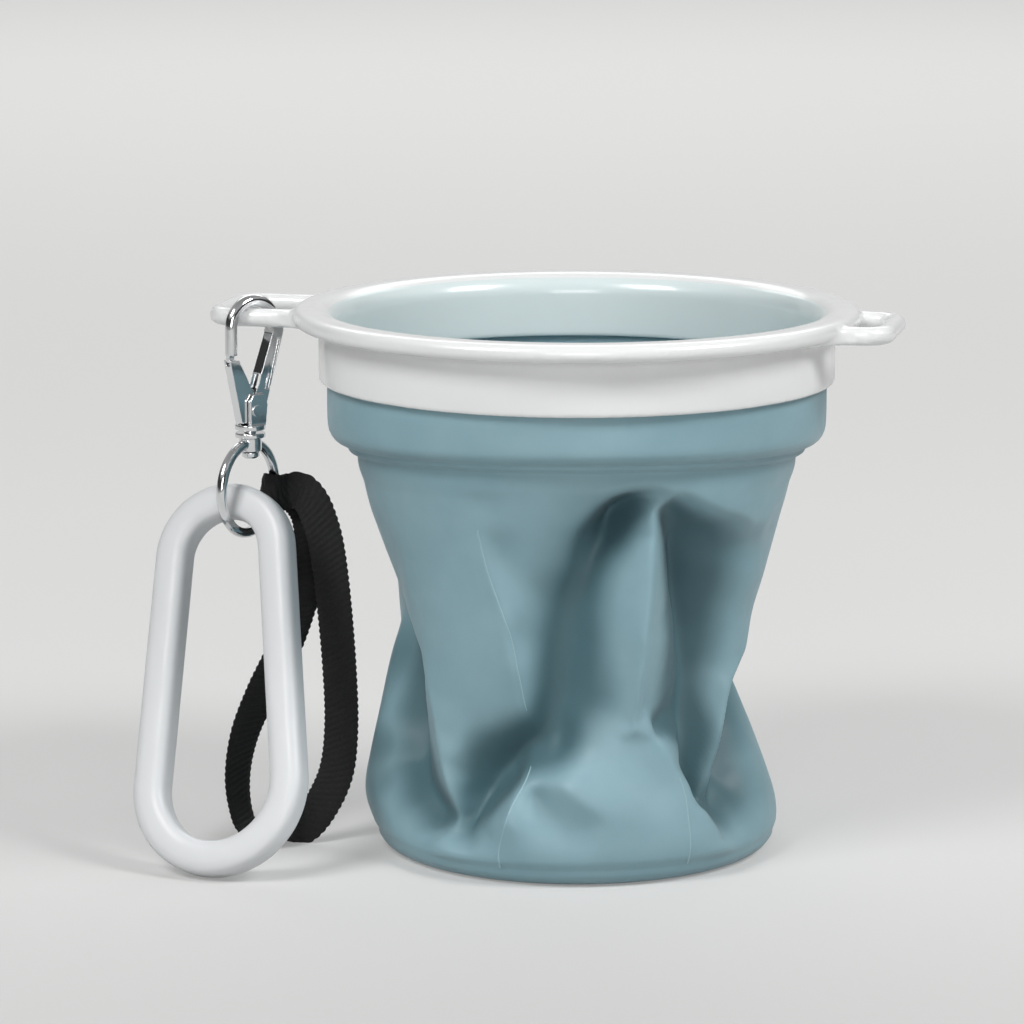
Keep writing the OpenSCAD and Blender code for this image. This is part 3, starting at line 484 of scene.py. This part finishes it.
# The folds are made deeper than the net gives them, most at the front
BROAD_BLUR = 12.0
FOLD_GAIN = 1.12
FRONT_GAIN = 0.6
# Depth behind the folds at which painted shade starts to darken the silicone, and over which it deepens
CREASE_FROM = 4.2
CREASE_SPAN = 9.0
# Columns and rows in which the folds round a place are looked for, and by which that is smoothed
CREASE_COLS = 22
CREASE_ROWS = 28
CREASE_SMOOTH = 6
# Pockets between folds that get painted shade: azimuth, height, half width in degrees, half height, tone
# of the painted shade
SHADED_POCKETS = [(-91, 52, 6, 12, 0.8), (-86, 28, 6, 6, 0.6), (-74, 21, 8, 5, 0.45)]


def neck_z(a):
    """Height of the crease under the cuff, which is pulled up a little at the front."""
    return NECK_Z + NECK_LIFT * max(0.0, math.cos(math.radians(a))) ** 1.2


def seen(across, down, radius):
    """Azimuth, height and radius of the point that shows at a pixel, on a cylinder of that radius."""
    x, y, z = (v / MM for v in CAMERA_AT)
    pitch = math.atan2(z - VIEW_AIM_Z, -y)
    ray_x = (across - VIEW_CENTRE[0]) / VIEW_FOCAL
    up = (VIEW_CENTRE[1] - down) / VIEW_FOCAL
    ray_y = math.cos(pitch) + up * math.sin(pitch)
    ray_z = up * math.cos(pitch) - math.sin(pitch)
    flat = ray_x ** 2 + ray_y ** 2
    toward = x * ray_x + y * ray_y
    beyond = x ** 2 + y ** 2 - radius ** 2
    reach = (-toward - math.sqrt(max(toward ** 2 - flat * beyond, 0))) / flat
    azimuth = math.degrees(math.atan2(x + reach * ray_x, -(y + reach * ray_y)))
    return round(azimuth, 1), round(z + reach * ray_z, 1), radius


def seam_line(line):
    """Azimuths and heights of a parting line, with its straight run down the base."""
    spots = [seen(*p)[:2] for p in line]
    azimuth, height = spots[-1]
    if height < SEAM_LOW:
        spots.append((azimuth, SEAM_FOOT))
    return spots


def fold_net():
    """Points of the folding wall, and pairs of neighbours on a line with the line's softness."""
    points, edges = [], []
    lines = [(softness, [seen(*p) for p in line]) for softness, line in SEEN_LINES]
    for softness, line in lines + SIDE_LINES:
        for k, p in enumerate(line):
            if k:
                edges.append((len(points) - 1, len(points), softness))
            points.append(p)
    points += [seen(*p) for p in SEEN_POINTS] + SIDE_POINTS
    half = BORDER_STEP // 2
    for a in range(0, 360, BORDER_STEP):
        points += [(a, neck_z(a), NECK_R), (a, FOOT_Z, FOOT_R), (a + half, BULGE_Z, BULGE_R)]
        if not ARCH_FROM <= a <= ARCH_TO:
            points.append((a + half, neck_z(a) - UNDER_NECK, UNDER_NECK_R))
    return points, edges


def net_triangles(points, edges):
    """Triangles between the points, on three turns of the wall so that it closes on itself."""
    many = len(points)
    flat = [Vector(((a + turn) * SPREAD, z)) for turn in TURNS for a, z, r in points]
    radii = np.array([p[2] for p in points] * len(TURNS))
    pairs = [(i + k * many, j + k * many) for k in range(len(TURNS)) for i, j, s in edges]
    verts, _, tris, origin, _, _ = delaunay_2d_cdt(flat, pairs, [], 0, 1e-4)
    height = np.array([np.mean(radii[o]) if o else np.nan for o in origin])
    if np.isnan(height).any():
        raise ValueError("fold lines cross each other")
    return np.array([tuple(v) for v in verts]), height, tris


def net_grid(verts, height, tris):
    """Radius on the even grid, read off the triangles."""
    grid = np.full((ROWS, COLS), np.nan)
    for tri in tris:
        p, h = verts[list(tri)], height[list(tri)]
        low, high = p.min(0), p.max(0)
        e1, e2 = p[1] - p[0], p[2] - p[0]
        det = e1[0] * e2[1] - e1[1] * e2[0]
        if high[0] < 0 or low[0] > 360 * SPREAD or abs(det) < 1e-9:
            continue
        i0 = max(0, math.floor(low[0] / STEP_U))
        i1 = min(COLS - 1, math.ceil(high[0] / STEP_U))
        j0 = max(0, math.floor((low[1] - FOOT_Z) / STEP_V))
        j1 = min(ROWS - 1, math.ceil((high[1] - FOOT_Z) / STEP_V))
        uu, vv = np.meshgrid(np.arange(i0, i1 + 1) * STEP_U, FOOT_Z + np.arange(j0, j1 + 1) * STEP_V)
        du, dv = uu - p[0][0], vv - p[0][1]
        s = (du * e2[1] - dv * e2[0]) / det
        t = (dv * e1[0] - du * e1[1]) / det
        inside = (s >= -1e-6) & (t >= -1e-6) & (s + t <= 1 + 1e-6)
        block = grid[j0:j1 + 1, i0:i1 + 1]
        block[inside] = (h[0] + s * (h[1] - h[0]) + t * (h[2] - h[0]))[inside]
    grid[np.isnan(grid)] = NECK_R
    return grid


def blur(field, sigma):
    for axis, step in ((1, STEP_U), (0, STEP_V)):
        reach = max(1, int(3 * sigma / step))
        offsets = np.arange(-reach, reach + 1)
        weight = np.exp(-0.5 * (offsets * step / sigma) ** 2)
        weight /= weight.sum()
        if axis:
            field = sum(w * np.roll(field, -o, 1) for w, o in zip(weight, offsets))
        else:
            padded = np.pad(field, ((reach, reach), (0, 0)), mode="edge")
            field = sum(w * padded[reach + o:reach + o + ROWS] for w, o in zip(weight, offsets))
    return field


def softness_grid(points, edges):
    """Roundness of the wall at each place, from the fold lines near it."""
    softness = np.full((ROWS, COLS), FOLD_SOFT)
    rounder = np.zeros((ROWS, COLS))
    uu, vv = np.meshgrid(AZIMUTHS * SPREAD, HEIGHTS)
    for i, j, soft in edges:
        for turn in TURNS:
            a = np.array([(points[i][0] + turn) * SPREAD, points[i][1]])
            b = np.array([(points[j][0] + turn) * SPREAD, points[j][1]])
            if max(a[0], b[0]) < -30 or min(a[0], b[0]) > 360 * SPREAD + 30:
                continue
            ab = b - a
            t = np.clip(((uu - a[0]) * ab[0] + (vv - a[1]) * ab[1]) / (ab @ ab), 0, 1)
            gap = np.hypot(uu - a[0] - t * ab[0], vv - a[1] - t * ab[1])
            if soft > FOLD_SOFT:
                rounder = np.maximum(rounder, soft - ROUND_FADE * gap)
            else:
                softness = np.minimum(softness, soft + SHARP_FADE * gap)
    return blur(np.maximum(softness, rounder), 1.2)


def fold_grid():
    """Radius of the folding wall on an even grid of azimuth and height."""
    points, edges = fold_net()
    grid = net_grid(*net_triangles(points, edges))
    front = ease((np.cos(np.radians(AZIMUTHS)) - 0.45) / 0.35)
    broad = blur(grid, BROAD_BLUR)
    grid = broad + (grid - broad) * (FOLD_GAIN + FRONT_GAIN * front)
    fields = np.stack([blur(grid, s) for s in SOFT_LEVELS])
    place = np.interp(softness_grid(points, edges), SOFT_LEVELS, np.arange(len(SOFT_LEVELS)))
    low = np.minimum(place.astype(int), len(SOFT_LEVELS) - 2)
    share = place - low
    jj, ii = np.meshgrid(np.arange(ROWS), np.arange(COLS), indexing="ij")
    return fields[low, jj, ii] * (1 - share) + fields[low + 1, jj, ii] * share


FOLDS = fold_grid()


def fold_value(a, z, grid):
    """A grid's value at azimuths and heights, read between its places."""
    x = (np.asarray(a, float) % 360) / (360 / COLS)
    y = np.clip((np.asarray(z, float) - FOOT_Z) / STEP_V, 0, ROWS - 1.001)
    i, j = x.astype(int) % COLS, y.astype(int)
    fx, fy = x - np.floor(x), y - j
    k = (i + 1) % COLS
    return ((grid[j, i] * (1 - fx) + grid[j, k] * fx) * (1 - fy)
            + (grid[j + 1, i] * (1 - fx) + grid[j + 1, k] * fx) * fy)


def painted_crease_shade():
    """How much painted shade each place gets, from 0 to 1: by its depth behind the folds round it, and in
    pockets.
    """
    hull = FOLDS
    for axis, reach in ((1, CREASE_COLS), (0, CREASE_ROWS)):
        hull = np.max([np.roll(hull, k, axis) for k in range(-reach, reach + 1)], axis=0)
    for axis in (1, 0):
        near = range(-CREASE_SMOOTH, CREASE_SMOOTH + 1)
        hull = np.mean([np.roll(hull, k, axis) for k in near], axis=0)
    depth = ease((hull - FOLDS - CREASE_FROM) / CREASE_SPAN)
    for at, height, wide, tall, tone in SHADED_POCKETS:
        beside = np.exp(-((((AZIMUTHS - at + 180) % 360) - 180) / wide) ** 2)
        depth = np.maximum(depth, tone * np.outer(np.exp(-((HEIGHTS - height) / tall) ** 2), beside))
    return depth


def level_row(r, z):
    return np.full(COLS, r), np.full(COLS, z)


def cup_rows():
    """Outer and inner profile rows of the cup, each a row of radii and heights round the bowl."""
    lift = np.array([neck_z(a) - NECK_Z for a in AZIMUTHS])
    cuff = catmull(CUFF_PROFILE, 2)[:-1]
    outer, inner = [], []
    for k, (r, z) in enumerate(cuff):
        sagged = z + lift * ease((SAG_FROM - z) / (SAG_FROM - NECK_Z))
        outer.append((np.full(COLS, r), sagged))
        if k % 2 == 0:
            thin = WALL_T - 0.8 * ease((z - 127.2) / 1.4)
            inner.append((np.full(COLS, r - thin), sagged + 0.9 * ease((118 - z) / 8)))
    for s in np.linspace(1, 0, OUTER_ROWS):
        z = FOOT_Z + (NECK_Z + lift - FOOT_Z) * s
        radius = fold_value(AZIMUTHS, z, FOLDS)
        top = ease((s - 0.93) / 0.07)
        low = ease((0.035 - s) / 0.035)
        radius = radius * (1 - top) + (NECK_R + 0.15 * top) * top
        outer.append((radius * (1 - low) + FOOT_R * low, z))
    outer += [level_row(r, z) for r, z in catmull(FOOT_PROFILE, 2)[1:]]
    for s in np.linspace(1, 0.05, INNER_ROWS):
        z = FOOT_Z + (NECK_Z + lift - FOOT_Z) * s
        inner.append((fold_value(AZIMUTHS, z, FOLDS) - WALL_T, z))
    inner += [level_row(r, z) for r, z in catmull(BOTTOM_PROFILE, 2)]
    return outer, inner


def make_cup():
    outer, inner = cup_rows()
    sin, cos = np.sin(np.radians(AZIMUTHS)), -np.cos(np.radians(AZIMUTHS))
    rows = outer[::-1] + inner
    verts = list(np.concatenate([np.stack([r * sin, r * cos, z], -1) for r, z in rows]))
    wall_count = len(verts)
    faces = list(grid_faces(len(rows), COLS, flip=True))
    faces.append(range(COLS))
    faces.append(range(wall_count - COLS, wall_count)[::-1])
    for line in SEEN_SEAMS:
        add_seam(verts, faces, seam_line(line))
    obj = make_piece("silicone_cup", np.array(verts) * MM, faces, silicone)
    # Painted shade in deep folds and pockets, and a painted highlight on the parting-line beads, are
    # stored on the points as attributes
    depth = painted_crease_shade()
    dark = [fold_value(AZIMUTHS, z, depth) * ease((NECK_Z + 2 - z) / 6) for r, z in outer[::-1]]
    dark = np.concatenate(dark + [np.zeros(len(verts) - len(outer) * COLS)])
    seam_highlight_mask = np.arange(len(verts)) >= wall_count
    for name, level in (("crease", dark), ("seam_highlight", seam_highlight_mask)):
        layer = obj.data.attributes.new(name, "FLOAT", "POINT")
        layer.data.foreach_set("value", level.astype(np.float32))
    return obj


def add_seam(verts, faces, line):
    """A thin raised bead along a parting line."""
    path = catmull(line, 14)
    radius = fold_value(path[:, 0], path[:, 1], FOLDS)
    angle = np.radians(path[:, 0])
    spots = np.stack([radius * np.sin(angle), -radius * np.cos(angle), path[:, 1]], -1)
    along = unit(np.gradient(spots, axis=0))
    out = np.stack([np.sin(angle), -np.cos(angle), np.zeros(len(angle))], -1)
    side = unit(np.cross(along, out))
    out = np.cross(side, along)
    place = np.arange(len(path))
    taper = 0.2 + 0.8 * ease(np.minimum(place, place[::-1]) / SEAM_TAPER)
    first = len(verts)
    turns = np.radians(np.arange(0, 360, 45))
    for p, s, o, t in zip(spots, side, out, taper):
        for turn in turns:
            verts.append(p + s * (SEAM_R * math.cos(turn)) + o * (SEAM_R * t * math.sin(turn) - SEAM_SINK))
    faces.extend(grid_faces(len(path), len(turns), first=first))
    faces.append(range(first, first + len(turns)))
    faces.append(range(len(verts) - len(turns), len(verts)))


cup = make_cup()
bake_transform(cup)
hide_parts("silicone_cuff", "silicone_wall", "silicone_base")

# Rim
ROLL_R = 6.0
ROLL_AT = (71.0, 142.6)
# Mouth ring: lower edge, back of its foot, and how far it stands in front of the lip's round
RING_Z = 130.8
RING_BACK = 66.3
RING_PROUD = 0.12


def roll_lip(obj):
    """The lip's inner edge turns down into the mouth in one large round."""
    mesh = obj.data
    spots = np.empty(len(mesh.vertices) * 3)
    mesh.vertices.foreach_get("co", spots)
    spots = spots.reshape(-1, 3) / MM
    r, z = np.hypot(spots[:, 0], spots[:, 1]), spots[:, 2]
    in_r, up_z = r - ROLL_AT[0], z - ROLL_AT[1]
    reach = np.hypot(in_r, up_z)
    past = (in_r < 0) & (up_z > 0) & (reach > ROLL_R)
    share = np.where(past, ROLL_R / np.maximum(reach, 1e-6), 1.0)
    new_r = np.where(past, ROLL_AT[0] + in_r * share, r)
    spots[:, :2] *= (new_r / np.maximum(r, 1e-6))[:, None]
    spots[:, 2] = np.where(past, ROLL_AT[1] + up_z * share, z)
    mesh.vertices.foreach_set("co", (spots * MM).ravel())
    mesh.update()


def make_mouth_ring():
    """Ring inside the mouth, its top edge feathered into the lip so that no joint shows."""
    inner = ROLL_AT[0] - ROLL_R - RING_PROUD
    profile = [(RING_BACK, RING_Z + 0.2), (65.9, RING_Z), (inner + 0.35, RING_Z + 0.1),
               (inner + 0.08, RING_Z + 0.45), (inner, RING_Z + 1.2)]
    profile += [(inner, z) for z in np.linspace(RING_Z + 3, ROLL_AT[1], 6)]
    for turn in np.linspace(176, 112, 18):
        reach = ROLL_R + RING_PROUD - 0.34 * ease((140 - turn) / 28)
        profile.append((ROLL_AT[0] + reach * math.cos(math.radians(turn)),
                        ROLL_AT[1] + reach * math.sin(math.radians(turn))))
    profile += [(68.6, 146.0), (66.6, 142.0), (RING_BACK, 136.0)]
    turns = np.radians(np.arange(0, 360, 1.5))
    verts = [(r * math.cos(t), r * math.sin(t), z) for r, z in profile for t in turns]
    faces = grid_faces(len(profile), len(turns), wrap_rows=True, flip=True)
    # The ring takes the plastic with painted shade and a painted reflection of the silicone
    return make_piece("mouth_ring", np.array(verts) * MM, faces, mouth_ring_shaded_plastic)


rim = softened("rim_moulding", "rim_collar", 0.6, 14, white_plastic)
roll_lip(rim)
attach(rim, "rim")
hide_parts("rim_collar")
mouth_ring = make_mouth_ring()
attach(mouth_ring, "rim")
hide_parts("clamp_ring")

# Hook, gate and swivel: piece, node, body, voxel in millimetres and rounds of smoothing
for name, node, body, voxel, rounds in (
        ("hook_casting", "hook_body", "hook", 0.17, 9),
        ("thumb_gate", "hook_gate", "gate", 0.15, 7),
        ("gate_rivet", "gate_pin", "hook", 0.10, 5),
        ("stem_rivet", "swivel_stem", "hook", 0.12, 6),
        ("swivel_ring", "swivel_eye", "eye", 0.16, 8)):
    piece = softened(name, node, voxel, rounds, chrome)
    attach(piece, body)
    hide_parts(node)
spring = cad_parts["gate_spring"]
spring.data.materials.clear()
spring.data.materials.append(chrome)

# Grip link
LINK_TOP_R = 15.4
LINK_END_R = 20.3
LINK_LEN = 64.0
LINK_W = 9.4
LINK_T = 9.0
LINK_HANG = (-91.127, -0.074, 94.292)
LINK_TURN = -25.0
LINK_LEAN = 25.2289
LINK_TILT = 11.0
# Where on the top arc it hangs, squareness of the section, and depth and width of its parting line
LINK_ARC_SHARE = 0.30
LINK_SQUARE = 3.4
LINK_LINE_DEEP = 0.018
LINK_LINE_WIDE = 0.35


def link_outline():
    """Places round the link's middle line, each with the way out from there."""
    slope = math.asin((LINK_END_R - LINK_TOP_R) / LINK_LEN)
    side = LINK_LEN * math.cos(slope)
    sin, cos = math.sin(slope), math.cos(slope)
    line = []

    def arc(radius, drop, start, end, count):
        for t in np.linspace(start, end, count, endpoint=False):
            c, s = math.cos(t), math.sin(t)
            line.append((radius * c, radius * s - drop, c, s))

    def straight(start, way, out):
        for k in np.linspace(0, side, 40, endpoint=False):
            line.append((*(start + way * k), *out))

    arc(LINK_TOP_R, 0, slope, math.pi - slope, 60)
    left = np.array([-cos, sin])
    straight(LINK_TOP_R * left, np.array([-sin, -cos]), left)
    arc(LINK_END_R, LINK_LEN, math.pi - slope, 2 * math.pi + slope, 90)
    right = np.array([cos, sin])
    straight(LINK_END_R * right - np.array([0, LINK_LEN]), np.array([-sin, cos]), right)
    return np.array(line)


def make_link():
    line = link_outline()
    turns = np.linspace(0, 2 * math.pi, 56, endpoint=False)
    c, s = np.cos(turns), np.sin(turns)
    w = np.sign(c) * np.abs(c) ** (2 / LINK_SQUARE) * LINK_W / 2
    t = np.sign(s) * np.abs(s) ** (2 / LINK_SQUARE) * LINK_T / 2
    w = w * (1 - LINK_LINE_DEEP * np.exp(-(t / LINK_LINE_WIDE) ** 2))
    flat = line[:, None, :2] + line[:, None, 2:] * w[None, :, None]
    deep = np.broadcast_to(t[None, :, None], flat.shape[:2] + (1,))
    verts = np.concatenate([flat, deep], -1).reshape(-1, 3)
    arc_off = LINK_TOP_R * LINK_ARC_SHARE
    arc_h = math.sqrt(LINK_TOP_R ** 2 - arc_off ** 2)
    place = (Matrix.Translation(LINK_HANG) @ Matrix.Rotation(math.radians(LINK_TURN), 4, "Z")
             @ Matrix.Rotation(math.radians(90 - LINK_LEAN), 4, "X")
             @ Matrix.Rotation(math.radians(LINK_TILT), 4, "Z")
             @ Matrix.Translation((-arc_off, -arc_h, 0)))
    m = np.array(place)
    verts = verts @ m[:3, :3].T + m[:3, 3]
    faces = grid_faces(len(line), len(turns), wrap_rows=True)
    return make_piece("oblong_link", verts * MM, faces, link_plastic)


link = make_link()
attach(link, "link")
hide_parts("grip_link")

# Floor and light
WORLD_FILL = 0.09
# Places along the view and the glow at each, which evens out the lamps' fall-off
FLOOR_NEAR = -0.5
FLOOR_FAR = 2.5
FLOOR_GLOW = [(-0.5, 0.09), (-0.18, 0.14), (0.05, 0.28), (0.5, 0.34), (2.5, 0.41)]
# Sweep: half width, where it starts to rise, radius of the rise and top
SWEEP_HALF = 4
SWEEP_Y = 3.6
SWEEP_R = 0.8
SWEEP_TOP = 2.6
# What reflections see of the room, from floor level up to overhead
ROOM_GLOW = [(0.0, 0.30), (0.05, 0.05), (0.36, 0.04), (0.5, 0.42), (1.0, 0.30)]
# Lamps: name, place, what each faces, size in metres and power
LAMPS = [
    ("left", (-0.74, -0.78, 1.10), (0, 0, 0.07), (0.5, 0.5), 11.6),
    ("right", (0.96, -0.52, 1.10), (0, 0, 0.07), (0.5, 0.5), 12.8),
    ("front", (0, -1.5, 0.42), (0, 0, 0.09), (0.6, 0.6), 5.4),
    ("rear", (0, 2.3, 1.7), (0, 2.3, 0), (2.4, 1.8), 24),
]


def make_stage():
    """Pale sweep: part of its tone is a glow that only the camera and reflections see."""
    mat, nodes, links, shader = new_material("paper", (0.50, 0.50, 0.494), 0.9, specular=0.1)
    path = nodes.new("ShaderNodeLightPath")
    seen = path.outputs["Is Camera Ray"]
    for ray in ("Is Glossy Ray", "Is Transmission Ray"):
        both = nodes.new("ShaderNodeMath")
        both.operation = "MAXIMUM"
        links.new(seen, both.inputs[0])
        links.new(path.outputs[ray], both.inputs[1])
        seen = both.outputs[0]
    coords = nodes.new("ShaderNodeTexCoord")
    split = nodes.new("ShaderNodeSeparateXYZ")
    links.new(coords.outputs["Object"], split.inputs["Vector"])
    depth = nodes.new("ShaderNodeMapRange")
    depth.inputs["From Min"].default_value = FLOOR_NEAR
    depth.inputs["From Max"].default_value = FLOOR_FAR
    links.new(split.outputs["Y"], depth.inputs["Value"])
    tone = ramp(nodes, links, depth.outputs["Result"],
                [((y - FLOOR_NEAR) / (FLOOR_FAR - FLOOR_NEAR), grey(g)) for y, g in FLOOR_GLOW])
    glow = nodes.new("ShaderNodeMath")
    glow.operation = "MULTIPLY"
    links.new(seen, glow.inputs[0])
    links.new(tone, glow.inputs[1])
    links.new(glow.outputs[0], shader.inputs["Emission Strength"])
    shader.inputs["Emission Color"].default_value = (1, 1, 0.99, 1)
    rows = [(y, 0.0) for y in (-2.5, -1, 0, 1, 2.2, SWEEP_Y)]
    for t in np.linspace(0.1, math.pi / 2, 12):
        rows.append((SWEEP_Y + SWEEP_R * math.sin(t), SWEEP_R - SWEEP_R * math.cos(t)))
    rows.append((SWEEP_Y + SWEEP_R, SWEEP_TOP))
    verts = [(x, y, z) for y, z in rows for x in (-SWEEP_HALF, SWEEP_HALF)]
    floor = make_piece("floor", verts, grid_faces(len(rows), 2, wrap_cols=False), mat)


def add_area(name, at, look, size, power):
    data = bpy.data.lights.new(name, "AREA")
    data.shape = "RECTANGLE"
    data.size, data.size_y = size
    data.energy = power
    lamp = bpy.data.objects.new(name, data)
    lamp.location = at
    lamp.rotation_euler = (Vector(look) - Vector(at)).to_track_quat("-Z", "Y").to_euler()
    bpy.context.scene.collection.objects.link(lamp)


def make_world():
    """An even dim fill, and a room of lighter and darker bands that only reflections see."""
    world = bpy.data.worlds.new("studio")
    world.use_nodes = True
    nodes, links = world.node_tree.nodes, world.node_tree.links
    path = nodes.new("ShaderNodeLightPath")
    sky = nodes.new("ShaderNodeTexCoord")
    high = nodes.new("ShaderNodeSeparateXYZ")
    links.new(sky.outputs["Generated"], high.inputs["Vector"])
    room = ramp(nodes, links, high.outputs["Z"], [(place, grey(level)) for place, level in ROOM_GLOW])
    seen = nodes.new("ShaderNodeMixRGB")
    seen.inputs["Color1"].default_value = (*grey(WORLD_FILL), 1)
    links.new(path.outputs["Is Glossy Ray"], seen.inputs["Fac"])
    links.new(room, seen.inputs["Color2"])
    links.new(seen.outputs["Color"], nodes["Background"].inputs["Color"])
    bpy.context.scene.world = world


make_stage()
for lamp in LAMPS:
    add_area(*lamp)
make_world()
bpy.context.scene.view_settings.view_transform = "Standard"
